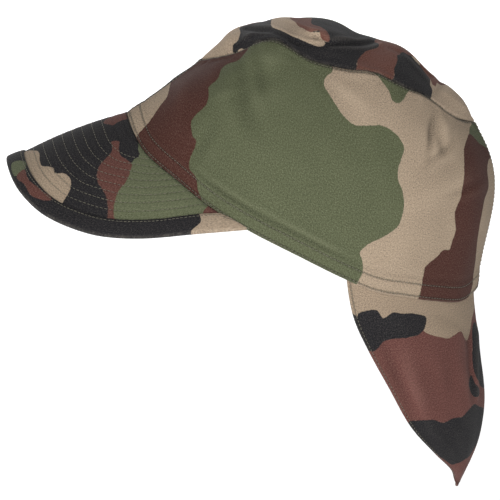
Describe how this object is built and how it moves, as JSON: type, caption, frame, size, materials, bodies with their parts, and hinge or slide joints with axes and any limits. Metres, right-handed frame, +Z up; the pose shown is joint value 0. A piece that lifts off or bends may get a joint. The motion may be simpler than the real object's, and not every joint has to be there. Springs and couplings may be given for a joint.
{
  "type": "field cap with neck flap",
  "caption": "Soft cotton field cap with two side panels, a pointed oval crown top, a stiff quilted peak with a bound edge and a cloth flap that hangs over the neck.",
  "frame": {"origin": "middle of the head opening, half way between the centre-front and centre-back hem, where the head sits", "axes": "+Z up as the cap is worn on an upright head, -Y towards the peak (the wearer's front), +X towards the wearer's left"},
  "size_m": [0.1621, 0.2783, 0.2671],
  "materials": {
    "printed_cotton": "matt cotton twill with a four-colour woodland print",
    "thread": "matt khaki sewing thread"
  },
  "bodies": {
    "root": {"side_panel_left": "printed_cotton", "side_panel_right": "printed_cotton", "crown_top": "printed_cotton", "peak": "printed_cotton", "peak_binding": "printed_cotton", "neck_flap": "printed_cotton"}
  },
  "joints": []
}
